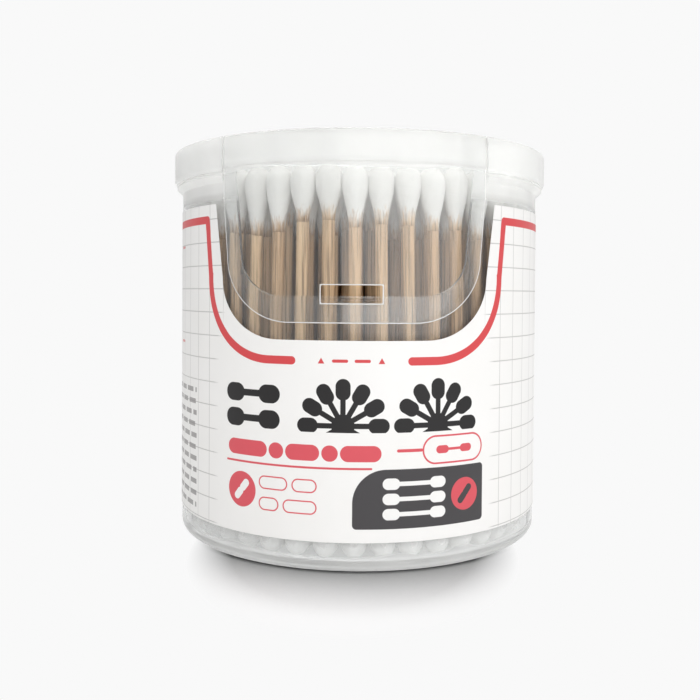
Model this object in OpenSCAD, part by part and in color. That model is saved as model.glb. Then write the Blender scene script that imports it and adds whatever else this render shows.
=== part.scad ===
// Round clear tub of cotton swabs, with a printed wrap label and a lid whose front flap opens.
// Millimetres. The tub stands on z = 0 with its axis on Z, and the flap faces -Y.

/* [Tub] */
// Outside diameter of the wall where the collar starts
tub_d = 80; // [66:0.5:96]
// Height of the tub up to the top of its neck
tub_h = 80.3; // [66:0.1:96]
// How much smaller the radius is at the base than at the collar
tub_draft = 0.3; // [0:0.05:0.8]
// Thickness of the wall
wall_t = 1.2; // [0.9:0.1:1.6]
// Height of the floor's upper face
floor_z = 2.0; // [1.6:0.1:3]
// Fillet between the floor and the wall inside
floor_fillet = 0.8; // [0.4:0.1:1]
// Depth of the recess inside the foot ring
foot_recess = 0.8; // [0.4:0.1:1]
// Width of the foot ring
foot_ring_w = 3.5; // [2:0.5:6]
// Radius of the edge between wall and base
base_edge_r = 2.2; // [1:0.1:3]
// Diameter of the moulding gate's mark under the floor
gate_d = 3; // [2:0.5:5]
// Height of that mark
gate_h = 0.4; // [0.2:0.1:0.4]

/* [Collar and neck] */
// Height of the neck over the collar
neck_h = 5.5; // [4.5:0.1:7]
// How far the neck stands out from the wall
neck_out = 0.3; // [0:0.05:0.6]
// Height of the flare from the wall to the collar
collar_h = 1.5; // [1.2:0.1:3.5]
// How far the collar stands out from the wall
collar_out = 1.25; // [0.8:0.05:1.6]
// Radius of the snap bead round the neck
neck_bead_r = 0.2; // [0.1:0.05:0.25]

/* [Lid] */
// Thickness of the lid's plate and skirt
lid_t = 1.2; // [0.9:0.1:1.6]
// Gap between the skirt and the neck
lid_fit = 0.3; // [0.25:0.05:0.5]
// Gap between the skirt's lower edge and the collar
lid_seat_gap = 0.3; // [0.1:0.05:0.5]
// Gap between the neck's top and the lid's plate
lid_plate_gap = 0.5; // [0.3:0.05:0.8]
// Radius of the lid's upper edge
lid_edge_r = 0.6; // [0.3:0.1:2.5]
// Height of the chamfer round the skirt's lower edge
skirt_chamfer_h = 0.9; // [0.4:0.1:1.5]
// Depth of the chamfer round the skirt's lower edge
skirt_chamfer_t = 0.45; // [0.2:0.05:0.7]

/* [Front flap] */
// Width of the flap as a share of the tub's diameter
flap_share = 0.63; // [0.5:0.01:0.66]
// How much the tongue narrows on each side towards its lower corners
tongue_narrow = 0.9; // [0:0.1:2]
// How far under the collar that narrowing starts
tongue_taper_drop = 3.3; // [1:0.1:5]
// How far the tongue hangs below the notch
tongue_lap = 5; // [3:0.1:7]
// Radius of the tongue's lower corners
tongue_corner_r = 12.5; // [6:0.5:14]
// Thickness of the tongue
tongue_t = 1.1; // [0.8:0.1:1.4]
// Gap between the tongue and the wall behind it
tongue_gap = 0.45; // [0.3:0.05:0.8]
// Gap between the flap's sides and the lid
flap_gap = 0.3; // [0.2:0.05:0.5]

/* [Dispensing notch] */
// Depth of the notch in the front wall
notch_depth = 29.1; // [20:0.1:34]
// How far the tongue covers the wall on each side of the notch
notch_side_lap = 4.1; // [2:0.1:8]
// Radius of the notch's lower corners
notch_corner_r = 8; // [4:0.5:12]
// How much wider the notch is on each side at the neck than above its lower corners
notch_flare = 1.4; // [0:0.1:2.5]
// Radius of the neck's upper corners beside the notch
notch_mouth_r = 2.2; // [0.5:0.1:3.5]

/* [Latch] */
// Width of the slot through the tongue
slot_w = 11.3; // [8:0.1:16]
// Height of the slot
slot_h = 3.3; // [2.5:0.1:4.5]
// How far the slot reaches below the notch's edge
slot_drop = 1.3; // [1:0.1:3]
// Radius of the nub's round section
nub_r = 0.4; // [0.3:0.05:0.6]
// Gap between the slot's ends and the nub's
nub_side_gap = 0.35; // [0.2:0.05:1]

/* [Hinge] */
// Distance of the hinge axis behind the front of the tub
hinge_set = 22; // [18:0.5:26]
// Radius of the flap's barrel
barrel_r = 1.7; // [1.4:0.1:2]
// Gap between the barrel and the lid behind it, which sets how far the flap opens
rear_gap = 0.6; // [0.3:0.1:1]
// Radius of the hinge pins
pin_r = 0.9; // [0.7:0.05:1.1]
// Length of each pin outside the barrel
pin_l = 1.9; // [1.2:0.1:2.5]
// Running clearance round each pin
pin_fit = 0.05; // [0.02:0.01:0.1]
// Wall of the lid's ears round the pins
ear_wall = 1.0; // [0.7:0.1:1.3]
// How much narrower than its pin the mouth of an ear is
ear_mouth_pinch = 0.4; // [0.2:0.1:0.8]

/* [Label] */
// Thickness of the film
label_t = 0.15; // [0.1:0.05:0.25]
// Height of the label's lower edge
label_z0 = 5.8; // [4:0.1:10]
// Gap between the label's upper edge and the collar
label_top_gap = 4.1; // [1:0.1:6]
// Gap between the tongue's sides and the window in the label, at its upper edge
window_gap_top = 2.2; // [1:0.1:4]
// The same gap above the lower corners
window_gap_low = 1.4; // [1:0.1:4]
// The same gap under the tongue
window_gap_under = 3.2; // [1:0.1:5]
// Radius of the window's lower corners
window_corner_r = 11.5; // [6:0.5:14]

/* [Cotton swabs] */
// Rings in which the swabs stand, from the wall to the middle
rings = 8; // [5:1:9]
// Radius of the inmost ring as a share of the distance between rings
inner_ring_share = 0.66; // [0.6:0.01:0.67]
// Looseness of the ring along the wall as a share of the distance between rings
wall_ring_slack = 0.08; // [0.02:0.01:0.12]
// Space between swabs, and to the wall
swab_gap = 0.06; // [0.04:0.01:0.3]
// Space between the swabs' heads and the top of the neck
headroom = 4.2; // [2:0.1:10]
// Most that one swab is longer or shorter than the others
swab_l_vary = 0.3; // [0:0.1:0.5]
// Gap between a bud and the floor
swab_floor_gap = 0.1; // [0.05:0.05:0.3]
// Diameter of the wooden stick
stick_d = 2.4; // [1.8:0.1:2.8]
// How much wider than the stick a bud is where it ends on it
bud_neck_out = 0.5; // [0.2:0.1:1]
// Length of a bud
bud_l = 12.5; // [10:0.5:16]
// Seed of the swabs' small differences
seed = 7; // [1:1:99]

/* [Hidden] */
fine = 96;                                  // sides of a large circle
small = 48;                                 // sides of a small circle
hair = 0.01;                                // overlap that makes two solids one
far = 1.5 * tub_d;                          // reach of a cut that runs out of the part

// Tub
tub_r = tub_d / 2;
base_r = tub_r - tub_draft;
neck_r = tub_r + neck_out;
foot_r = base_r - foot_ring_w;
collar_top_z = tub_h - neck_h;
collar_z = collar_top_z - collar_h;
collar_r = tub_r + collar_out;

// Lid
skirt_z = collar_top_z + lid_seat_gap;
plate_z = tub_h + lid_plate_gap;
lid_top_z = plate_z + lid_t;
skirt_in_r = neck_r + lid_fit;
lid_r = skirt_in_r + lid_t;

// Flap and notch
flap_w = flap_share * tub_d;
cutout_w = flap_w + 2 * flap_gap;
collar_gap_w = cutout_w + 2 * flap_gap;
notch_w = flap_w - 2 * notch_side_lap;
notch_mouth_w = notch_w + 2 * notch_flare;
notch_z = tub_h - notch_depth;
tongue_low_w = flap_w - 2 * tongue_narrow;
tongue_z = notch_z - tongue_lap;
tongue_taper_z = collar_z - tongue_taper_drop;
tongue_in_r = tub_r + tongue_gap;
tongue_out_r = tongue_in_r + tongue_t;

// Latch
slot_z = notch_z - slot_drop;
nub_w = slot_w - 2 * nub_side_gap;
nub_z = notch_z - 2 * nub_r;

// Hinge
hinge_y = tub_r - hinge_set;
hinge_z = lid_top_z - barrel_r;
bore_r = pin_r + pin_fit;
bore_l = pin_l - flap_gap + pin_fit;
ear_r = bore_r + ear_wall;
ear_l = bore_l + ear_wall;
ear_mouth = 2 * pin_r - ear_mouth_pinch;

// Label
label_z1 = collar_z - label_top_gap;
window_top_w = flap_w + 2 * window_gap_top;
window_low_w = tongue_low_w + 2 * window_gap_low;
window_z = tongue_z - window_gap_under;

// Radius of the tub's wall at a height, and of its inner face
function wall_r(z) = base_r + tub_draft * z / collar_z;
function cavity_r(z) = wall_r(z) - wall_t;

// The swabs stand in rings that fill the tub, so their buds follow from its bore
ring_step = (cavity_r(floor_z) - swab_gap / 2) / (rings - 0.5 + inner_ring_share);
bud_d = ring_step - swab_gap;
bud_neck_d = stick_d + bud_neck_out;
swab_z = floor_z + swab_floor_gap;
swab_l = tub_h - headroom - swab_z;

function ring_r(k) = (rings - k + inner_ring_share) * ring_step;
function pitch(k) = k == 1 ? (1 + wall_ring_slack) * ring_step : ring_step;
function swab_count(k) = floor(180 / asin(pitch(k) / 2 / ring_r(k)));
function ring_angle(k) = 360 / swab_count(k);

// Angle to spare between two swabs of a ring, and what each swab takes of it
function play(k) = ring_angle(k) - 2 * asin(ring_step / 2 / ring_r(k));
function sway(k) = play(k) * swab_count(k) / (8 * PI);
function shake(k, end) = rands(-play(k) / 4, play(k) / 4, swab_count(k), seed + 10 * k + end);
function lengths(k) = rands(-swab_l_vary, swab_l_vary, swab_count(k), seed + 10 * k + 5);

// Angle of the foot and of the head of each swab of ring k
function foot_angles(k) = [for (i = [0:swab_count(k) - 1])
    i * ring_angle(k) + 17 * k - sway(k) * sin(2 * i * ring_angle(k) + 40 * k) + shake(k, 1)[i]];
function head_angles(k) = [for (i = [0:swab_count(k) - 1])
    i * ring_angle(k) + 17 * k + sway(k) * sin(2 * i * ring_angle(k) + 40 * k) + shake(k, 2)[i]];

// A U outline in X and Z: its top width, the width where its lower corners start, and their radius
module u_outline(top_w, low_w, z0, z1, corner_r) {
    side_z = z0 + corner_r;
    polygon([[-low_w / 2, side_z], [low_w / 2, side_z], [top_w / 2, z1], [-top_w / 2, z1]]);
    translate([-low_w / 2 + corner_r, z0]) square([low_w - 2 * corner_r, corner_r + hair]);
    for (side = [-1, 1])
        translate([side * (low_w / 2 - corner_r), side_z]) circle(corner_r, $fn = fine);
}

// Pushes an outline in X and Z through the front half of the tub
module through_front() {
    rotate([90, 0, 0]) linear_extrude(far) children();
}

// The notch: a U that widens up to the neck, and a mouth with round upper corners
module notch_outline() {
    u_outline(notch_mouth_w, notch_w, notch_z, collar_top_z, notch_corner_r);
    difference() {
        translate([-notch_mouth_w / 2 - notch_mouth_r, collar_top_z - hair])
            square([notch_mouth_w + 2 * notch_mouth_r, neck_h + 1]);
        for (side = [0, 1]) mirror([side, 0]) translate([notch_mouth_w / 2, 0]) {
            translate([notch_mouth_r, tub_h - notch_mouth_r]) circle(notch_mouth_r, $fn = small);
            translate([0, collar_z]) square([far, tub_h - notch_mouth_r - collar_z]);
        }
    }
}

// Half section of the tub without its collar
module tub_section() {
    difference() {
        union() {
            polygon([
                [0, base_edge_r], [wall_r(base_edge_r), base_edge_r], [tub_r, collar_z],
                [neck_r, collar_top_z], [neck_r, tub_h], [0, tub_h]]);
            square([base_r - base_edge_r, base_edge_r + hair]);
            translate([wall_r(base_edge_r) - base_edge_r, base_edge_r]) circle(base_edge_r, $fn = small);
        }
        polygon([
            [-1, floor_z], [cavity_r(floor_z) - floor_fillet, floor_z],
            [cavity_r(floor_z), floor_z + floor_fillet], [tub_r - wall_t, collar_z],
            [neck_r - wall_t, collar_top_z], [neck_r - wall_t, tub_h + 1], [-1, tub_h + 1]]);
        translate([-1, -1]) square([foot_r + 1, foot_recess + 1]);
    }
}

// Flared collar under the lid's skirt and bead round the neck, both open where the tongue hangs
module collar() {
    difference() {
        rotate_extrude($fn = fine) {
            polygon([
                [tub_r - wall_t / 2, collar_z], [tub_r, collar_z], [collar_r, collar_top_z - collar_h / 4],
                [collar_r, collar_top_z], [neck_r - wall_t / 2, collar_top_z]]);
            translate([neck_r, collar_top_z + neck_h / 2]) circle(neck_bead_r, $fn = small);
        }
        translate([-collar_gap_w / 2, -far, collar_z - 1]) cube([collar_gap_w, far, collar_h + neck_h]);
    }
}

// Round nub just under the notch, which the tongue's slot closes over
module latch_nub() {
    half_angle = asin(nub_w / 2 / tub_r);
    rotate([0, 0, -90 - half_angle]) rotate_extrude(angle = 2 * half_angle, $fn = fine)
        translate([wall_r(nub_z), nub_z]) circle(nub_r, $fn = small);
}

module tub() {
    color([0.86, 0.91, 0.93, 0.4]) {
        difference() {
            union() {
                rotate_extrude($fn = fine) tub_section();
                collar();
            }
            through_front() notch_outline();
        }
        latch_nub();
        translate([0, 0, foot_recess - gate_h])
            cylinder(h = floor_z - foot_recess, d = gate_d, $fn = small);
    }
}

module label() {
    color("white") difference() {
        rotate_extrude($fn = fine) polygon([
            [wall_r(label_z0), label_z0], [wall_r(label_z0) + label_t, label_z0],
            [wall_r(label_z1) + label_t, label_z1], [wall_r(label_z1), label_z1]]);
        through_front() u_outline(window_top_w, window_low_w, window_z, label_z1 + hair, window_corner_r);
    }
}

// Half section of the lid's plate and skirt, which the flap shares
module lid_section() {
    difference() {
        union() {
            polygon([
                [0, skirt_z], [lid_r - skirt_chamfer_t, skirt_z], [lid_r, skirt_z + skirt_chamfer_h],
                [lid_r, lid_top_z - lid_edge_r], [0, lid_top_z - lid_edge_r]]);
            translate([0, lid_top_z - lid_edge_r - hair]) square([lid_r - lid_edge_r, lid_edge_r + hair]);
            translate([lid_r - lid_edge_r, lid_top_z - lid_edge_r]) circle(lid_edge_r, $fn = small);
        }
        translate([-1, skirt_z - 1]) square([skirt_in_r + 1, plate_z - skirt_z + 1]);
    }
}

// The block of space that the flap takes out of the lid, grown by a gap
module flap_block(width, gap) {
    translate([-width / 2, -far, skirt_z - 1]) cube([width, far - hinge_y + gap, lid_top_z]);
}

// Turns a shape built along Z into the hinge axis, which runs along X
module on_hinge_axis() {
    translate([0, -hinge_y, hinge_z]) rotate([0, 90, 0]) children();
}

// Ear under the lid's plate, which holds one pin of the flap
module hinge_ear() {
    intersection() {
        union() {
            on_hinge_axis() translate([0, 0, cutout_w / 2]) cylinder(h = ear_l, r = ear_r, $fn = small);
            translate([cutout_w / 2, -hinge_y - ear_r, hinge_z]) cube([ear_l, 2 * ear_r, barrel_r]);
        }
        translate([0, -far, hinge_z - ear_r]) cube([far, 2 * far, ear_r + barrel_r]);
    }
}

// Blind bore for a pin, with the mouth below it through which the pin snaps in
module ear_bore() {
    on_hinge_axis() translate([0, 0, cutout_w / 2 - 1])
        cylinder(h = bore_l + 1, r = bore_r, $fn = small);
    translate([cutout_w / 2 - 1, -hinge_y - ear_mouth / 2, hinge_z - ear_r - 1])
        cube([bore_l + 1, ear_mouth, ear_r + 1]);
}

module lid() {
    color([0.88, 0.93, 0.95, 0.4]) difference() {
        union() {
            difference() {
                rotate_extrude($fn = fine) lid_section();
                flap_block(cutout_w, barrel_r + rear_gap);
            }
            for (side = [0, 1]) mirror([side, 0, 0]) hinge_ear();
        }
        for (side = [0, 1]) mirror([side, 0, 0]) ear_bore();
    }
}

// Curved tongue that hangs in front of the notch
module tongue() {
    difference() {
        intersection() {
            translate([0, 0, tongue_z - 1]) difference() {
                cylinder(h = skirt_z + skirt_chamfer_h - tongue_z + 1, r = tongue_out_r, $fn = fine);
                translate([0, 0, -1]) cylinder(h = lid_top_z, r = tongue_in_r, $fn = fine);
            }
            through_front() {
                u_outline(flap_w, tongue_low_w, tongue_z, tongue_taper_z, tongue_corner_r);
                translate([-flap_w / 2, tongue_taper_z - hair]) square([flap_w, far]);
            }
        }
        through_front() translate([-slot_w / 2, slot_z]) square([slot_w, slot_h]);
    }
}

module front_flap() {
    color([0.84, 0.9, 0.93, 0.4]) {
        intersection() {
            rotate_extrude($fn = fine) lid_section();
            flap_block(flap_w, 0);
        }
        tongue();
        on_hinge_axis() translate([0, 0, -flap_w / 2]) cylinder(h = flap_w, r = barrel_r, $fn = small);
        on_hinge_axis() translate([0, 0, -flap_w / 2 - pin_l])
            cylinder(h = flap_w + 2 * pin_l, r = pin_r, $fn = small);
    }
}

// Stands its children, built along Z, on swab i's line in ring k
module on_swab_line(k, i) {
    r = ring_r(k);
    foot = r * [cos(foot_angles(k)[i]), sin(foot_angles(k)[i]), 0];
    lean = r * [cos(head_angles(k)[i]), sin(head_angles(k)[i]), 0] - foot;
    translate(foot + [0, 0, swab_z])
        rotate([0, 0, atan2(lean.y, lean.x)]) rotate([0, asin(norm(lean) / swab_l), 0]) children();
}

// One bud, its neck at z = 0 and its tip at z = bud_l
module bud() {
    rotate_extrude($fn = small) {
        polygon([[0, 0], [bud_neck_d / 2, 0], [bud_d / 2, bud_l - bud_d / 2], [0, bud_l - bud_d / 2]]);
        intersection() {
            translate([0, bud_l - bud_d / 2]) circle(bud_d / 2, $fn = small);
            translate([0, bud_l - bud_d / 2]) square(bud_d);
        }
    }
}

// Sticks, each as long as it shows between its two buds
module swab_sticks(k) {
    color([0.79, 0.67, 0.53]) for (i = [0:swab_count(k) - 1])
        on_swab_line(k, i) translate([0, 0, bud_l])
            cylinder(h = swab_l + lengths(k)[i] - 2 * bud_l, d = stick_d, $fn = small);
}

module upper_buds(k) {
    color([0.97, 0.97, 0.96]) for (i = [0:swab_count(k) - 1])
        on_swab_line(k, i) translate([0, 0, swab_l + lengths(k)[i] - bud_l]) bud();
}

module lower_buds(k) {
    color([0.97, 0.97, 0.96]) for (i = [0:swab_count(k) - 1])
        on_swab_line(k, i) translate([0, 0, bud_l]) mirror([0, 0, 1]) bud();
}

tub();
label();
lid();
front_flap();
for (k = [1:rings]) {
    swab_sticks(k);
    upper_buds(k);
    lower_buds(k);
}
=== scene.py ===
# %% [markdown]
# # Dressing a tub of cotton swabs
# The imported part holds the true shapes: a clear tub, a lid with a hinged flap, a wrap label and two
# hundred swabs. This notebook gives them their looks, one material or piece at a time: clear plastic,
# printed film, birch and wound cotton, on a pale floor under soft light.

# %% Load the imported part
import math
import random

import bmesh
import bpy
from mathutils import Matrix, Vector


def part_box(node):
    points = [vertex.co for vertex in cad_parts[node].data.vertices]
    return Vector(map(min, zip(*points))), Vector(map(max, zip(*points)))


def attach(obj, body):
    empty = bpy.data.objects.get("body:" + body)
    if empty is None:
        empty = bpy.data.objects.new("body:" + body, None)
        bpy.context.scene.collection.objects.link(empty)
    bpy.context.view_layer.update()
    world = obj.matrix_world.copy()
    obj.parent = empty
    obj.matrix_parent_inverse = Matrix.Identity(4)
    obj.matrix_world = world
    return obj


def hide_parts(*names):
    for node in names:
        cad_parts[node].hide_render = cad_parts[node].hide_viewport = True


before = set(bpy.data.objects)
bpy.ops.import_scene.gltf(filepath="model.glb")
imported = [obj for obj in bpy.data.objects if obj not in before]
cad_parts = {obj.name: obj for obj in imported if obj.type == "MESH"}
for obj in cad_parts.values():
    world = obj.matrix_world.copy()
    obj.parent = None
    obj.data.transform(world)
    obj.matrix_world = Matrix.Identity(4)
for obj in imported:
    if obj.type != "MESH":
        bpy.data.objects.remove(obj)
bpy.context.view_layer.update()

MM = 0.001                                    # the scene is in metres, and the values below in millimetres

# %% [markdown]
# ## Shader maths as plain Python
# A material is a graph of nodes, and typing such a graph link by link hides the idea behind it. A small
# class can wrap one output socket instead, so that `1 - mask * 0.5` adds the Math nodes for it. Colours
# and any other kind of node come from its one other method, which sets a node up and hands back an output.


# %% A wire between shader nodes
class Wire:
    """One output of a shader node. Sums on wires become Math nodes in the same tree."""

    def __init__(self, socket):
        self.socket, self.tree = socket, socket.id_data

    @staticmethod
    def node(tree, kind, settings=None, sockets=None, out=0):
        """Adds a node: its settings first, then its sockets as values or wires. Sockets and the output that
        is handed back go by name or number."""
        made = tree.nodes.new("ShaderNode" + kind)
        for name, value in (settings or {}).items():
            if name == "stops":
                while len(made.color_ramp.elements) < len(value):
                    made.color_ramp.elements.new(1.0)
                for stop, (place, colour) in zip(made.color_ramp.elements, value):
                    stop.position, stop.color = place, (*colour, 1.0)
            else:
                setattr(made, name, value)
        for name, value in (sockets or {}).items():
            if isinstance(value, Wire):
                tree.links.new(value.socket, made.inputs[name])
            else:
                made.inputs[name].default_value = value
        return Wire(made.outputs[out])

    def math(self, operation, *others, clamp=False):
        """A Math node with this wire as its first value."""
        return Wire.node(self.tree, "Math", {"operation": operation, "use_clamp": clamp},
                         dict(enumerate((self, *others))))

    def __add__(self, other):
        return self.math("ADD", other)

    def __sub__(self, other):
        return self.math("SUBTRACT", other)

    def __rsub__(self, other):
        return self.math("MULTIPLY_ADD", -1.0, other)

    def __mul__(self, other):
        return self.math("MULTIPLY", other)

    def __abs__(self):
        return self.math("ABSOLUTE")

    def at_least(self, other):
        return self.math("MAXIMUM", other)

    def at_most(self, other):
        return self.math("MINIMUM", other)


print("sums on wires now add Math nodes")

# %% [markdown]
# ## Helpers that every material shares
# Colours in a design are written as the eye sees them, but a renderer adds light, so each written value
# is turned into a linear one first. Each material starts as an empty tree, gets its shader, and ends in
# an output node. Its patterns are set out in the part's own frame, in metres.


# %% Colours, and a material from its shader
def ink(red, green, blue):
    """A colour written with 0 to 255, as the linear light that a shader takes."""
    share = [value / 255 for value in (red, green, blue)]
    return tuple(s / 12.92 if s < 0.04045 else ((s + 0.055) / 1.055) ** 2.4 for s in share)


def solid(colour):
    return (*colour, 1.0)


def new_material(name):
    made = bpy.data.materials.new(name)
    made.use_nodes = True
    made.node_tree.nodes.clear()
    return made, made.node_tree


def end_material(tree, shader):
    last = tree.nodes.new("ShaderNodeOutputMaterial")
    tree.links.new(shader.socket, last.inputs["Surface"])


def blend(tree, share, first, second):
    """A shader between two shaders."""
    return Wire.node(tree, "MixShader", None, {0: share, 1: first, 2: second})


print("a red ink is", [round(v, 3) for v in ink(222, 72, 77)], "in linear light")


# %% Patterns, places and bumps
def place_on(tree):
    """Where a point of the surface is, in the part's own frame, in metres."""
    return Wire.node(tree, "TexCoord", out="Object")


def stretched(tree, where, by):
    """Coordinates multiplied along each axis."""
    return Wire.node(tree, "VectorMath", {"operation": "MULTIPLY"}, {0: where, 1: by})


def noise(tree, where, by, detail=2.0, rough=0.5):
    """Soft random values over a surface, where by says how many of them fit in a metre along each axis."""
    return Wire.node(tree, "TexNoise", None, {
        "Vector": stretched(tree, where, by), "Scale": 1.0, "Detail": detail, "Roughness": rough})


def mix(tree, share, first, second):
    """A colour between two colours."""
    return Wire.node(tree, "Mix", {"data_type": "RGBA"}, {0: share, 6: first, 7: second}, 2)


def ray(tree, kind):
    """1 for one kind of ray, and 0 for the others."""
    return Wire.node(tree, "LightPath", out=f"Is {kind} Ray")


def own_shade(tree):
    """A random value for each loose piece of a mesh."""
    return Wire.node(tree, "NewGeometry", out="Random Per Island")


def bump(tree, height, depth):
    """A normal that follows a height, where depth is in metres."""
    return Wire.node(tree, "Bump", None, {"Height": height, "Distance": depth, "Strength": 1.0})


print("noise, mixes and bumps are ready")

# %% [markdown]
# ## The camera first
# The look of a photograph starts with where the camera stood. This one stood close, at about half the
# tub's height, so the rim curves up and the base curves down while the sides stay upright. A lens that is
# shifted, not tilted, keeps uprights parallel, as a view camera does.

# %% Camera
CAMERA_TURN = math.radians(1.8)               # round the tub, from its front to its right
CAMERA_ROLL = math.radians(-0.4)
CAMERA_FAR = 0.1905                           # from the tub's axis, in metres
CAMERA_HIGH = 0.0518
FRAME = 700                                   # pixels across the picture
SHIFT_RIGHT, SHIFT_UP = -8.7, -57             # of the lens, in pixels
lens = bpy.data.cameras.new("camera")
lens.lens = 42.17
lens.sensor_width = 36.0
lens.shift_x = SHIFT_RIGHT / FRAME
lens.shift_y = SHIFT_UP / FRAME
lens.clip_start = 0.005
camera = bpy.data.objects.new("camera", lens)
camera.location = (math.sin(CAMERA_TURN) * CAMERA_FAR, -math.cos(CAMERA_TURN) * CAMERA_FAR, CAMERA_HIGH)
camera.rotation_euler = (math.radians(90), CAMERA_ROLL, CAMERA_TURN)
bpy.context.scene.collection.objects.link(camera)
bpy.context.scene.camera = camera
bpy.context.scene.view_settings.view_transform = "Standard"
print("camera", round(CAMERA_FAR * 1000), "mm from the axis")

# %% [markdown]
# ## Clear moulded plastic
# The tub, its lid and the flap are clear polystyrene. Glass in a renderer blocks the lamps from what
# stands behind it, so shadow rays are let straight through, and the swabs inside get their light. Such
# plastic is never quite clear: a thin milky veil lies in it, thicker in the lid, at the neck and in the
# base, where several walls and corners scatter the light. The veil follows the height, as a ramp.

# %% Clear plastic
RAMP_TOP = 100                                # the height in mm at which each ramp ends
VEIL_FRONT, VEIL_BEHIND = (0.97, 0.97, 0.96), (0.87, 0.87, 0.86)
LIT_FROM_BEHIND = 0.35                        # the part of the veil that light comes through


def clear_plastic(name, veil_at):
    """Clear plastic, with a veil that follows the height. veil_at holds (height in mm, share) pairs."""
    made, tree = new_material(name)
    where = place_on(tree)
    height = Wire.node(tree, "SeparateXYZ", None, {0: where}, "Z")
    flow = noise(tree, where, (60.0, 60.0, 12.0), 1.0)
    stops = [(z / RAMP_TOP, (share, share, share)) for z, share in veil_at]
    ramp = Wire.node(tree, "ValToRGB", {"stops": stops}, {0: height * (1 / (RAMP_TOP * MM))})
    glass = Wire.node(tree, "BsdfPrincipled", None, {
        "Base Color": solid((0.97, 0.98, 0.98)), "Roughness": flow * 0.05 + 0.02, "IOR": 1.5,
        "Specular IOR Level": 0.14, "Transmission Weight": 1.0})
    front = Wire.node(tree, "BsdfPrincipled", None, {
        "Base Color": solid(VEIL_FRONT), "Roughness": 0.4, "Specular IOR Level": 0.2})
    behind = Wire.node(tree, "BsdfTranslucent", None, {"Color": solid(VEIL_BEHIND)})
    share = Wire.node(tree, "RGBToBW", None, {0: ramp}) * (flow + 0.5)
    wall = blend(tree, share, glass, blend(tree, LIT_FROM_BEHIND, front, behind))
    through = Wire.node(tree, "BsdfTransparent", None, {"Color": solid((0.93, 0.93, 0.93))})
    end_material(tree, blend(tree, ray(tree, "Shadow"), wall, through))
    return made


def evenly(share):
    """One veil at every height."""
    return [(0, share), (RAMP_TOP, share)]


TUB_PLASTIC = clear_plastic("tub_plastic", [
    (0, 0.5), (2, 0.4), (3.2, 0.25), (5.8, 0.2), (6.5, 0.02), (69, 0.01), (71.5, 0.6), (74.8, 0.7)])
LID_PLASTIC = clear_plastic("lid_plastic", evenly(0.6))
FLAP_PLASTIC = clear_plastic("flap_plastic", [(0, 0.006), (60, 0.01), (67, 0.07), (74, 0.17), (77, 0.4)])
RIM_PLASTIC = clear_plastic("rim_plastic", evenly(0.12))
# painted highlight: the flap's rounded edges are nearly all white veil, so they show as a bright thread
FLAP_GLINT_PLASTIC = clear_plastic("painted_glint_plastic", evenly(0.9))
print("clear plastic mixed for the tub, the lid, the flap and their edges")

# %% [markdown]
# ## Round edges that catch the light
# A mould leaves no edge sharp. Each edge of the flap, the lid and the notch has a tiny radius, and seen
# against the dark gaps between the swabs that radius is a bright thread, so it draws the shape of clear
# parts. The CAD edges are sharp, but for the lid's upper outer one, so copies of these nodes get a bevel.
# The bevel has a plastic of its own. On the flap it is a near-white veil, a painted highlight that makes the
# thread show. At a corner it may overshoot a little, and is then brought back into its node's box.


# %% A mesh that takes a CAD node's place
def put_in(name, mesh, body, replaced, finishes):
    """Turns a bmesh into an object on a body, in place of its CAD node."""
    bmesh.ops.recalc_face_normals(mesh, faces=mesh.faces)
    data = bpy.data.meshes.new(name)
    mesh.to_mesh(data)
    mesh.free()
    data.polygons.foreach_set("use_smooth", [True] * len(data.polygons))
    for finish in finishes:
        data.materials.append(finish)
    made = bpy.data.objects.new(name, data)
    bpy.context.scene.collection.objects.link(made)
    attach(made, body)
    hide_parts(replaced)
    return made


print("meshes can take the place of CAD nodes")

# %% Rounded copies
SHARP = math.radians(50)                      # edges over this angle are rounded
CREASE = math.radians(38)                     # edges over this angle stay crisp in the shading
FLAT = math.radians(0.5)                      # faces under this angle are one face


def rounded_copy(name, node, body, radius, chosen, finishes, bright_below=1.0):
    """A copy of a CAD node with its chosen sharp edges rounded. Under a height, in metres, the bevel takes
    the second finish."""
    mesh = bmesh.new()
    mesh.from_mesh(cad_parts[node].data)
    bmesh.ops.remove_doubles(mesh, verts=mesh.verts, dist=0.001 * MM)
    bmesh.ops.dissolve_limit(mesh, angle_limit=FLAT, verts=mesh.verts[:], edges=mesh.edges[:])
    sharp = [e for e in mesh.edges if e.calc_face_angle() > SHARP and chosen(e)]
    bmesh.ops.bevel(mesh, geom=sharp, offset=radius * MM, offset_type="OFFSET", segments=3, profile=0.5,
                    affect="EDGES", clamp_overlap=False, material=1)
    low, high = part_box(node)
    for vert in mesh.verts:
        vert.co = [min(max(value, least), most) for value, least, most in zip(vert.co, low, high)]
    for face in mesh.faces:
        if face.calc_center_median().z > bright_below:
            face.material_index = 0
    for edge in mesh.edges:
        edge.smooth = not edge.is_manifold or edge.calc_face_angle() < CREASE
    made = put_in(name, mesh, body, node, finishes)
    flat_first = made.modifiers.new("face areas steer the normals", "WEIGHTED_NORMAL")
    flat_first.keep_sharp = True
    seen = made.evaluated_get(bpy.context.evaluated_depsgraph_get())
    whole = bpy.data.meshes.new_from_object(seen)
    made.modifiers.clear()
    made.data = whole
    print(name, "has", len(whole.polygons), "faces and", len(sharp), "rounded edges")
    return made


print("copies get round edges")

# %% The three clear parts
RIM_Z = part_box("tub")[1].z
LID_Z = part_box("lid")[0].z
NOTCH_Z = 51.4 * MM                           # the notch is rounded from just over its latch
NOTCH_SIDE = 25 * MM
NOTCH_FRONT = -30 * MM
LID_ROUND_Z, LID_ROUND_R = 81.3 * MM, 41 * MM  # above and outside these the CAD lid is round already


def middle(edge):
    return (edge.verts[0].co + edge.verts[1].co) / 2


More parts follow.
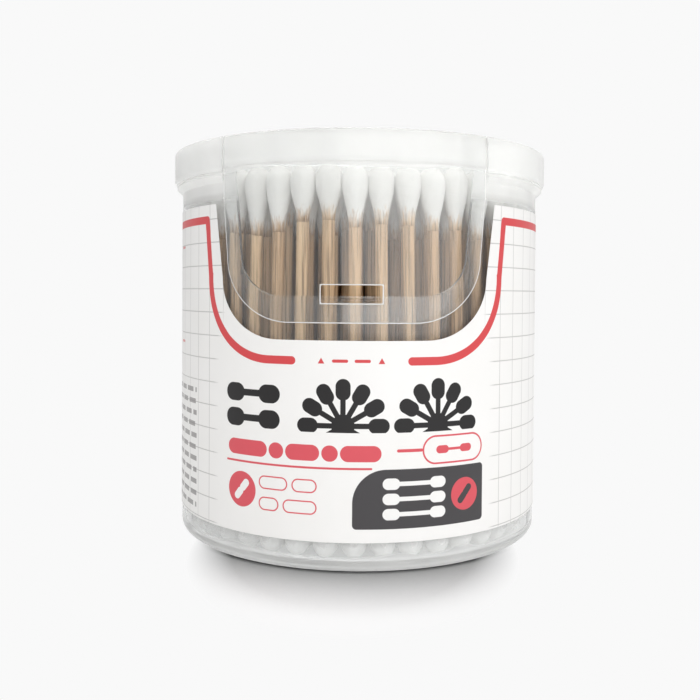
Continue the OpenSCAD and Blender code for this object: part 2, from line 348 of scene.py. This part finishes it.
def on_rim_or_notch(edge):
    """The neck's upper rim, and the notch's outline above the latch."""
    at = middle(edge)
    on_notch = at.y < NOTCH_FRONT and abs(at.x) < NOTCH_SIDE and at.z > NOTCH_Z
    return edge.calc_length() > 0.2 * MM and (at.z > RIM_Z - 0.01 * MM or on_notch)


def not_round_yet(edge):
    """Every edge but the lid's upper outer one."""
    at = middle(edge)
    return at.z < LID_ROUND_Z or at.xy.length < LID_ROUND_R


rounded_copy("clear_tub", "tub", "tub", 0.18, on_rim_or_notch, [TUB_PLASTIC, RIM_PLASTIC])
rounded_copy("clear_lid", "lid", "lid", 0.15, not_round_yet, [LID_PLASTIC, RIM_PLASTIC])
rounded_copy("clear_flap", "front_flap", "flap", 0.2, not_round_yet, [FLAP_PLASTIC, FLAP_GLINT_PLASTIC], LID_Z)

# %% [markdown]
# ## The printed film
# The label is a white film with print. A picture file could carry the print, but shapes can be drawn in
# the shader itself: each shape is a distance in millimetres, negative inside, and a distance turns into a
# sharp mask. `u` runs round the tub from the middle of the front, and `v` is the height. The print is made
# of bars, dots, dashes and plain drawings of swabs.

# %% Distances to simple shapes
LABEL_R = 40.1
SOFT = 0.06                                   # how soft a printed edge is


def length_of(tree, across, up):
    pair = Wire.node(tree, "CombineXYZ", None, {0: across, 1: up})
    return Wire.node(tree, "VectorMath", {"operation": "LENGTH"}, {0: pair}, "Value")


def stroke(tree, along, aside, low, high, half):
    """Distance to a straight stroke with round ends."""
    past = (abs(along - (low + high) / 2) - (high - low) / 2).at_least(0.0)
    return length_of(tree, past, aside) - half


def block(tree, u, v, left, right, low, high, corner):
    """Distance to a rectangle with round corners."""
    across = (abs(u - (left + right) / 2) - ((right - left) / 2 - corner)).at_least(0.0)
    up = (abs(v - (low + high) / 2) - ((high - low) / 2 - corner)).at_least(0.0)
    return length_of(tree, across, up) - corner


def field(u, v, middle_u, middle_v, half_u, half_v):
    """Distance to a plain rectangle."""
    return (abs(u - middle_u) - half_u).at_least(abs(v - middle_v) - half_v)


def outline(distance, half):
    return abs(distance) - half


def mask(distance):
    """1 inside a shape and 0 outside."""
    return distance.math("MULTIPLY_ADD", -1 / SOFT, 0.5, clamp=True)


def repeat(value, pitch):
    """Folds a long coordinate into cells of one pitch, each with 0 in its middle."""
    return value.math("WRAP", pitch / 2, -pitch / 2)


def turned_by(u, v, degrees):
    """The two coordinates, seen from an axis that is turned by an angle."""
    cos, sin = math.cos(math.radians(degrees)), math.sin(math.radians(degrees))
    return u * cos + v * sin, v * cos - u * sin


print("strokes, blocks and outlines can be drawn")

# %% The stripe round the window
STRIPE_TOP = 66.2                             # height of its level upper runs
STRIPE_END = 33.2                             # how far round these runs reach
BEND_U, BEND_V, BEND_R = 16.2, 54.8, 15.6     # the middle of its bend, and the radius
SIDE_U, SIDE_LEAN = 25.06, 0.123              # where its leaning side would meet height 0, and the lean
FOOT_FROM = 11.4


def stripe(tree, around, v):
    """The red line that frames the window: along the top, down each side, round the corner."""
    top = length_of(tree, (STRIPE_END - around).at_least(0.0), v - STRIPE_TOP)
    side = length_of(tree, around - (v * SIDE_LEAN + SIDE_U),
                     (v - STRIPE_TOP).at_least(BEND_V - v).at_least(0.0))
    circle = abs(length_of(tree, around - BEND_U, v - BEND_V) - BEND_R)
    bend = circle.at_least(BEND_U - around).at_least(v - BEND_V)
    foot = stroke(tree, around, v - (BEND_V - BEND_R), FOOT_FROM, BEND_U, 0.0)
    return top.at_most(side).at_most(bend).at_most(foot) - 0.78


print("the stripe bends with a radius of", BEND_R, "mm")

# %% Swabs, fans of swabs, a badge and dashes
SIGN_BUD = 1.2                                # how long the straight part of a drawn bud is
FAN_DISC = 0.3                                # the disc in a fan, as a share of its swabs' reach
BADGE_SIDES = 0.3, 27.3, 8.3, 19.3            # left, right, low and high
BADGE_R, BADGE_LARGE_R = 0.8, 6.3             # three corners, and the large one
ROW_PITCH, ROW_SHIFT = 2.35, 9.0              # from row to row of dashes, and the most a row is shifted
DASH_PITCH, DASH_L, DASH_H = 4.9, 3.8, 1.0    # from dash to dash, and the size of one


def swab_sign(tree, along, aside, reach, stick, bud):
    """A plain drawing of a swab, which reaches as far on both sides of its middle."""
    out = abs(along)
    rod = length_of(tree, (out - reach).at_least(0.0), aside) - stick
    return rod.at_most(stroke(tree, out, aside, reach - SIGN_BUD, reach, bud))


def fan(tree, u, v, reach, stick, bud, swabs):
    """Half a wheel of swabs, spread over a small half disc."""
    far, turn = length_of(tree, u, v), v.math("ARCTAN2", u)
    off = repeat(turn, math.pi / (swabs - 1))
    along, aside = far * off.math("COSINE"), far * off.math("SINE")
    sticks = stroke(tree, along, aside, 0.0, reach, stick)
    buds = stroke(tree, along, aside, reach - SIGN_BUD, reach, bud)
    return sticks.at_most(buds).at_most(far - reach * FAN_DISC).at_least((v + bud * 0.9) * -1.0)


def badge(tree, u, v):
    """A dark field with one large round corner."""
    left, _, _, high = BADGE_SIDES
    across = (u - (left + BADGE_LARGE_R)).at_most(0.0)
    up = (v - (high - BADGE_LARGE_R)).at_least(0.0)
    return block(tree, u, v, *BADGE_SIDES, BADGE_R).at_least(length_of(tree, across, up) - BADGE_LARGE_R)


def rows_of_dashes(tree, u, v):
    """Level rows of dashes, each row shifted by its own random length."""
    row = (v * (1 / ROW_PITCH)).math("FLOOR")
    shift = Wire.node(tree, "TexWhiteNoise", {"noise_dimensions": "1D"}, {"W": row})
    along, aside = repeat(u + shift * ROW_SHIFT, DASH_PITCH), repeat(v - ROW_PITCH / 2, ROW_PITCH)
    return field(along, aside, 0.0, 0.0, DASH_L / 2, DASH_H / 2)


print("the label has swabs, fans of swabs, a badge and rows of dashes")


# %% What is printed, in its order
# each group is a list of (ink, distance, strength), and a later shape covers an earlier one
def window_print(tree, around, v):
    """The stripe, and a dashed line between two small arrows under the window."""
    arrow = (38.75 - v).at_least(abs(around - 5.65) * 0.87 + (v * 0.49 - 19.53))
    dashes = stroke(tree, around, v - 39.25, 0.9, 3.3, 0.3)
    return [("red", stripe(tree, around, v), 1.0), ("red", arrow.at_most(dashes), 1.0)]


def upper_print(tree, u, v):
    """Two fans and two swabs in black, a row of bars and dots, and a swab in a capsule."""
    fans = [fan(tree, u - at, v - 27.3, 7.3, 0.5, 1.4, 7) for at in (-1.5, 16.7)]
    swabs = [swab_sign(tree, u + 20.1, v - height, 4.6, 0.65, 1.75) for height in (32.7, 27.9)]
    row = ((-24.4, -18.0), (-14.6, -14.5), (-11.1, -7.4), (-4.0, -3.9), (-0.5, 4.2))
    bars = [stroke(tree, u, v - 22.2, left, right, 1.5) for left, right in row]
    long_line = stroke(tree, u, v - 19.45, -26.2, 3.8, 0.2)
    short_line = stroke(tree, u, v - 22.7, 8.9, 13.4, 0.3)
    capsule = outline(stroke(tree, u, v - 22.6, 16.3, 24.4, 2.55), 0.17)
    in_capsule = swab_sign(tree, u - 20.35, v - 22.6, 3.2, 0.25, 0.75)
    return [("black", shape, 1.0) for shape in fans + swabs] + [
        ("pink", shape, 1.0) for shape in (*bars, long_line.at_most(capsule).at_most(short_line), in_capsule)]


def lower_print(tree, u, v):
    """The badge with three swabs and a disc, then a disc and four pills on the left."""
    swabs = [swab_sign(tree, u - 12.2, v - height, 5.2, 0.4, 1.05) for height in (16.6, 13.8, 11.0)]
    in_badge = [("charcoal", badge(tree, u, v), 1.0), *(("paper", shape, 1.0) for shape in swabs),
                ("pink", length_of(tree, u - 22.8, v - 13.8) - 3.1, 1.0),
                ("charcoal", swab_sign(tree, *turned_by(u - 22.8, v - 13.8, 50), 1.5, 0.3, 0.65), 1.0)]
    disc = [("pink", length_of(tree, u + 22.4, v - 14.1) - 3.4, 1.0),
            ("paper", swab_sign(tree, *turned_by(u + 22.4, v - 14.1, 50), 1.7, 0.32, 0.72), 1.0)]
    pills = ((16.0, -17.0, -13.4), (16.0, -10.0, -7.6), (12.0, -17.0, -15.2), (12.0, -11.8, -7.6))
    return in_badge + disc + [("pink", outline(stroke(tree, u, v - height, left, right, 1.15), 0.13), 1.0)
                              for height, left, right in pills]


def side_print(tree, u, v):
    """Fields of dashes on the left side and at the back, and two short marks."""
    left, rear = field(u, v, -45.4, 20.0, 7.6, 12.6), field(u, v, -96.0, 30.0, 20.0, 18.0)
    marks = [stroke(tree, u, v - height, -49.5, -46.2, 0.25) for height in (61.3, 41.3)]
    dashes = rows_of_dashes(tree, u, v).at_least(left.at_most(rear))
    return [("grey", dashes, 0.8), *(("red", mark, 0.8) for mark in marks)]


print("the print is laid out in four groups")

# %% The printed film itself
INKS = {"red": (208, 69, 73), "pink": (212, 82, 92), "black": (26, 24, 25), "charcoal": (64, 62, 64),
        "grey": (120, 116, 116), "line": (166, 164, 162), "paper": (245, 244, 242)}
GRID, GRID_INK = 4.62, 0.7                    # the pitch of the thin grid, and how strong it is
THROUGH_FILM = 0.11                           # how much light bare film lets through


def grid_share(tree, around, v):
    """How strongly the thin grid shows: on the sides and the back, and not beside the window."""
    lines = outline(repeat(v - 20.1, GRID), 0.1).at_most(outline(repeat(around - 32.3, GRID), 0.08))
    beside = (around - 26.0).at_most(around - 29.0 + (v - 38.0).at_least(0.0) * 0.2)
    return mask(lines) * beside.math("MULTIPLY", 0.6, clamp=True) * GRID_INK


def printed_film():
    made, tree = new_material("printed_film")
    where = place_on(tree)
    x, y, z = (Wire.node(tree, "SeparateXYZ", None, {0: where}, axis) for axis in range(3))
    u, v = x.math("ARCTAN2", y * -1.0) * LABEL_R, z * 1000.0
    around = abs(u)
    mottle = noise(tree, where, (90.0, 90.0, 90.0))
    creases = noise(tree, where, (170.0, 170.0, 9.0))
    colour = mix(tree, mottle, solid(ink(242, 241, 238)), solid(ink(248, 247, 246)))
    colour = mix(tree, grid_share(tree, around, v), colour, solid(ink(*INKS["line"])))
    for name, distance, strength in (*window_print(tree, around, v), *upper_print(tree, u, v),
                                     *lower_print(tree, u, v), *side_print(tree, u, v)):
        share = mask(distance) if strength == 1.0 else mask(distance) * strength
        colour = mix(tree, share, colour, solid(ink(*INKS[name])))
    film = Wire.node(tree, "BsdfPrincipled", None, {
        "Base Color": colour, "Roughness": mottle * 0.15 + 0.3, "Specular IOR Level": 0.4,
        "Normal": bump(tree, creases, 0.00012)})
    lit_through = Wire.node(tree, "BsdfTranslucent", None, {"Color": solid(ink(*INKS["paper"]))})
    bare = Wire.node(tree, "RGBToBW", None, {0: colour})
    end_material(tree, blend(tree, bare * THROUGH_FILM, film, lit_through))
    print("the print takes", len(tree.nodes), "nodes")
    return made


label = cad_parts["label"]
label.data.materials.clear()
label.data.materials.append(printed_film())

# %% [markdown]
# ## Birch
# The sticks are turned birch. Its grain runs along the stick and its tone differs from stick to stick, so
# the noise is stretched along the height, and each loose piece of the mesh adds its own shade. A picture
# of wood could be wrapped round each stick, but noise in space needs no unwrapping and never repeats.

# %% Birch
BIRCH_PALE, BIRCH_DEEP, BIRCH_STREAK = ink(232, 202, 164), ink(188, 154, 119), ink(96, 70, 50)


def birch_tone(tree, where):
    """The colour of birch and its grain, which runs along Z."""
    own = own_shade(tree)
    shift = Wire.node(tree, "CombineXYZ", None, {2: own * 3.0})
    along = Wire.node(tree, "VectorMath", {"operation": "ADD"}, {0: where, 1: shift})
    grain = noise(tree, along, (2600.0, 2600.0, 60.0), 3.0, 0.6)
    cloud = noise(tree, along, (300.0, 300.0, 30.0), 1.0)
    tone = mix(tree, own * 0.6 + cloud * 0.4, solid(BIRCH_PALE), solid(BIRCH_DEEP))
    streaks = grain.math("MULTIPLY_ADD", 4.4, -2.0, clamp=True) * 0.75
    return mix(tree, streaks, tone, solid(BIRCH_STREAK)), grain


def birch():
    made, tree = new_material("birch")
    tone, grain = birch_tone(tree, place_on(tree))
    wood = Wire.node(tree, "BsdfPrincipled", None, {
        "Base Color": tone, "Roughness": grain * 0.3 + 0.5, "Specular IOR Level": 0.3,
        "Normal": bump(tree, grain, 0.0001)})
    end_material(tree, wood)
    return made


BIRCH = birch()
print("made", BIRCH.name)

# %% [markdown]
# ## Wound cotton
# A bud is cotton wound on the stick's end: fine fibres that lie round it, and soft shallow dents. Where it
# ends the fibres thin out and birch shows between them. How far a point lies from that end can't be read
# from its place in the tub, so the mesh carries it, as a value `from_end` on each vertex.


# %% Cotton
def cotton(name, pale, deep):
    """Wound cotton, which thins out to birch at the end of a bud."""
    made, tree = new_material(name)
    where = place_on(tree)
    fibres = noise(tree, where, (1500.0, 1500.0, 5200.0), 3.0, 0.7)
    tufts = noise(tree, where, (420.0, 420.0, 620.0), 1.0)
    tone = mix(tree, own_shade(tree) * 0.5 + tufts * 0.5, solid(deep), solid(pale))
    pelt = mix(tree, fibres * 0.5, tone, solid([value * 0.82 for value in deep]))
    from_end = Wire.node(tree, "Attribute", {"attribute_name": "from_end"}, out="Fac")
    wisps = noise(tree, where, (2400.0, 2400.0, 260.0), 2.0, 0.7)
    bare = (wisps * 2.2 + 0.1 - from_end * 0.38).math("MULTIPLY", 1.0, clamp=True)
    wood, _ = birch_tone(tree, where)
    wool = Wire.node(tree, "BsdfPrincipled", None, {
        "Base Color": mix(tree, bare, pelt, wood), "Roughness": fibres * 0.1 + 0.85,
        "Specular IOR Level": 0.15, "Sheen Weight": 0.1,
        "Normal": bump(tree, fibres * 0.6 + tufts, 0.0002)})
    end_material(tree, wool)
    return made


HEAD_COTTON = cotton("cotton", ink(248, 248, 245), ink(238, 237, 233))
# painted light: the feet get a paler copy of the head cotton, to make up for the shade at the foot of the tub
FOOT_COTTON_PAINTED_LIGHTER = cotton("foot_cotton_painted_lighter", ink(252, 252, 251), ink(246, 246, 244))
print("made cotton for the heads and the feet")

# %% [markdown]
# ## The swabs
# The CAD sticks are plain rods, and the CAD buds plain drops, in the right places. Each swab's line is
# read from its CAD stick: the rod's loose piece gives two end points. On that line a finer stick and two
# wound buds are modelled. Ring by ring they are joined into one mesh, which takes the CAD nodes' place.


# %% Read the line of each swab
def stick_lines(node):
    """The two end points of each loose rod of a node, lower end first."""
    mesh = bmesh.new()
    mesh.from_mesh(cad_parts[node].data)
    bmesh.ops.remove_doubles(mesh, verts=mesh.verts, dist=0.001 * MM)
    left, lines = set(mesh.verts), []
    while left:
        group, edge = set(), [left.pop()]
        while edge:
            vert = edge.pop()
            group.add(vert)
            for link in vert.link_edges:
                other = link.other_vert(vert)
                if other in left:
                    left.discard(other)
                    edge.append(other)
        halfway = sum(v.co.z for v in group) / len(group)
        ends = []
        for below in (True, False):
            cap = [v.co.copy() for v in group if (v.co.z < halfway) == below]
            ends.append(sum(cap, Vector()) / len(cap))
        lines.append(ends)
    mesh.free()
    return sorted(lines, key=lambda ends: math.atan2(ends[0].y, ends[0].x))


RINGS = len([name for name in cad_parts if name.startswith("swab_sticks_ring_")])
LINES = {ring: stick_lines(f"swab_sticks_ring_{ring}") for ring in range(1, RINGS + 1)}
print("swabs in each ring:", [len(lines) for lines in LINES.values()])


# %% Turned shapes along a line
def turned(mesh, start, end, profile, sides, rng, rough):
    """Adds a closed turned shape to mesh. profile holds (place along the line, radius) in millimetres,
    and rough is how far its points stray from the true round."""
    axis = (end - start).normalized()
    across = axis.orthogonal().normalized()
    other = axis.cross(across)
    phase = [rng.uniform(0, math.tau) for _ in range(3)]
    from_end = mesh.verts.layers.float.get("from_end") or mesh.verts.layers.float.new("from_end")
    rings = []
    for place, radius in profile:
        centre, ring = start + axis * (place * MM), []
        for side in range(sides):
            turn = math.tau * side / sides
            wave = (math.sin(2 * turn + phase[0] + place * 0.5) + math.sin(3 * turn + phase[1] + place * 0.9)
                    + math.sin(5 * turn + phase[2] - place * 1.5)) / 3
            reach = radius * (1 + rough * (wave + rng.uniform(-0.6, 0.6))) * MM
            vert = mesh.verts.new(centre + (across * math.cos(turn) + other * math.sin(turn)) * reach)
            vert[from_end] = place - profile[0][0]
            ring.append(vert)
        rings.append(ring)
    for low, high in zip(rings, rings[1:]):
        for side in range(sides):
            after = (side + 1) % sides
            mesh.faces.new((low[side], low[after], high[after], high[side]))
    mesh.faces.new(list(reversed(rings[0])))
    mesh.faces.new(rings[-1])


print("turned shapes are ready")

# %% The outlines of a stick and a bud
STICK_R = 1.2
NECK_R = 1.21                                 # where the cotton ends on the stick
BUD_R, FRONT_BUD_R = 2.36, 2.56               # the widest place of a bud, in the inner rings and by the wall
BUD_L = 12.5
CROWN = 3.4                                   # length of a bud's round end
WISPS = 1.2                                   # how far the last fibres run past a bud's CAD neck
SHORTER = 2.8                                 # the most that a bud's cotton is shorter than the longest
ROD_INSIDE = 7                                # how far the stick runs into its cotton
ROD_ROUGH, BUD_ROUGH = 0.006, 0.016           # how far their points stray, as shares of the radius
random_shapes = random.Random(11)


def rod_profile(length):
    return [(length * k / 6, STICK_R * random_shapes.uniform(0.985, 1.0)) for k in range(7)]


def bud_profile(widest, rows):
    """From the neck to the tip of a bud: a slow swell, the widest place near the tip, a round end. Each bud
    has its own length and width."""
    long = BUD_L + WISPS - SHORTER * random_shapes.random() ** 1.6
    widest *= random_shapes.uniform(0.97, 1.0)
    shape = []
    for row in range(rows + 1):
        below = long * (1 - row / rows) ** 1.4
        if below > CROWN:
            swell = (1 + math.cos(math.pi * (below - CROWN) / (long - CROWN))) / 2
            reach = NECK_R + (widest - NECK_R) * swell
        else:
            reach = widest * math.sqrt(max(1 - ((CROWN - below) / CROWN) ** 2.2, 0.01))
        shape.append((BUD_L + WISPS - below, reach))
    return shape


print("a bud is", BUD_L, "mm long and", 2 * BUD_R, "mm across")

# %% Sticks and buds, ring by ring
# sides of a stick, then sides and rows of a head and of a foot
FINE = {"stick": 16, "head": (24, 15), "foot": (20, 12)}
PLAIN = {"stick": 10, "head": (16, 10), "foot": (12, 9)}
faces = 0
for ring, lines in LINES.items():
    sticks, heads, feet = bmesh.new(), bmesh.new(), bmesh.new()
    detail = FINE if ring <= 2 else PLAIN
    widest = FRONT_BUD_R if ring == 1 else BUD_R
    for low, high in lines:
        axis = (high - low).normalized()
        bottom, top = low - axis * (BUD_L * MM), high + axis * (BUD_L * MM)
        low, high = low + axis * (WISPS * MM), high - axis * (WISPS * MM)
        start, end = low - axis * (ROD_INSIDE * MM), high + axis * (ROD_INSIDE * MM)
        rod = rod_profile((end - start).length / MM)
        turned(sticks, start, end, rod, detail["stick"], random_shapes, ROD_ROUGH)
        for mesh, neck, tip, kind in ((heads, high, top, "head"), (feet, low, bottom, "foot")):
            sides, rows = detail[kind]
            turned(mesh, neck, tip, bud_profile(widest, rows), sides, random_shapes, BUD_ROUGH)
    faces += sum(len(mesh.faces) for mesh in (sticks, heads, feet))
    put_in(f"birch_sticks_{ring}", sticks, "tub", f"swab_sticks_ring_{ring}", [BIRCH])
    put_in(f"cotton_heads_{ring}", heads, "tub", f"upper_buds_ring_{ring}", [HEAD_COTTON])
    put_in(f"cotton_feet_{ring}", feet, "tub", f"lower_buds_ring_{ring}", [FOOT_COTTON_PAINTED_LIGHTER])
print("swabs modelled with", faces, "faces")

# %% [markdown]
# ## Floor and background
# The ground is one even pale grey, with a shadow only where the tub meets it and a little way in front.
# The floor is far larger than the view. It is a lit surface near the front of the tub, where it takes the
# shadow, and one even tone elsewhere, so that no horizon shows. Rays that the plastic bends or mirrors see
# the same tone. Close to the tub a painted shade deepens the shadow, darker where a point is more shut in.

# %% Floor
GROUND = ink(249, 249, 249)
LIT_FROM, LIT_FADE = 0.036, 0.012             # in metres, how far the lit part reaches, and how it fades
LIT_STRETCH, LIT_AHEAD = (1.45, 1.0, 1.0), (0.0, 0.02, 0.0)
FOOT_R = 0.0376                               # inside this the floor is lit too
PAINTED_SHADE_REACH = 0.022                               # how near a wall has to be for the painted shade on the floor


def pale_floor():
    """Lit under the tub and in front of it, where its shadow and a painted shade lie; one even tone
    elsewhere.
    """
    made, tree = new_material("pale_floor")
    where = place_on(tree)
    ahead = Wire.node(tree, "VectorMath", {"operation": "MULTIPLY_ADD"},
                      {0: where, 1: LIT_STRETCH, 2: LIT_AHEAD})
    away, beside = (Wire.node(tree, "VectorMath", {"operation": "LENGTH"}, {0: at}, "Value")
                    for at in (ahead, where))
    out = away.math("MULTIPLY_ADD", 1 / LIT_FADE, -LIT_FROM / LIT_FADE, clamp=True).at_most(
        beside.math("GREATER_THAN", FOOT_R))
    straight = ray(tree, "Camera")
    bent = ray(tree, "Glossy").at_least(ray(tree, "Transmission"))
    # painted shade: the more shut in a point of the floor is, the more near-black is mixed in where the
    # camera sees it
    close = Wire.node(tree, "AmbientOcclusion", {"samples": 8}, {"Distance": PAINTED_SHADE_REACH}, "AO")
    pale = Wire.node(tree, "BsdfDiffuse", None, {"Color": solid(GROUND)})
    dark = Wire.node(tree, "BsdfDiffuse", None, {"Color": solid((0.06, 0.06, 0.06))})
    lit = blend(tree, (1 - close.math("POWER", 1.5)) * straight, pale, dark)
    even = Wire.node(tree, "Emission", None, {"Color": solid(GROUND), "Strength": 1.0})
    end_material(tree, blend(tree, (out * straight).at_least(bent * 0.85), lit, even))
    return made


floor_mesh = bmesh.new()
bmesh.ops.create_circle(floor_mesh, cap_ends=True, segments=64, radius=4.0)
floor_data = bpy.data.meshes.new("floor")
floor_mesh.to_mesh(floor_data)
floor_mesh.free()
floor_data.materials.append(pale_floor())
floor = bpy.data.objects.new("floor", floor_data)
bpy.context.scene.collection.objects.link(floor)
print("the floor is a disc of", len(floor_data.vertices), "corners")

# %% World
WORLD_LIGHT = (0.69, 0.69, 0.69)
world = bpy.data.worlds.new("studio")
world.use_nodes = True
world.node_tree.nodes.clear()
tree = world.node_tree
seen = ray(tree, "Camera").at_least(ray(tree, "Transmission"))
tone = mix(tree, seen, solid(WORLD_LIGHT), solid(GROUND))
sky = tree.nodes.new("ShaderNodeOutputWorld")
tree.links.new(Wire.node(tree, "Background", None, {"Color": tone}).socket, sky.inputs["Surface"])
bpy.context.scene.world = world
print("floor and world share the tone", [round(value, 3) for value in GROUND])

# %% [markdown]
# ## Two soft lamps
# A studio lights clear plastic with large soft boxes, because a small lamp would show in it as a hard
# patch. One box as wide as a window stands in front, a little to the right and above the tub, and a small
# one hangs over it for the tips of the swabs and the shadow on the floor.


# %% Lamps
def soft_lamp(name, place, aim, size, power):
    """A square area lamp that looks at a point."""
    lamp = bpy.data.lights.new(name, "AREA")
    lamp.shape, lamp.size, lamp.energy = "SQUARE", size, power
    made = bpy.data.objects.new(name, lamp)
    made.location = place
    made.rotation_mode = "QUATERNION"
    made.rotation_quaternion = (Vector(aim) - Vector(place)).to_track_quat("-Z", "Y")
    bpy.context.scene.collection.objects.link(made)
    return made


soft_lamp("lamp_over", (0.0, 0.065, 0.62), (0, 0, 0), 0.28, 0.9)
soft_lamp("lamp_front", (0.3, -0.62, 0.24), (0, 0, 0.03), 1.0, 3.9)
print("two soft lamps")
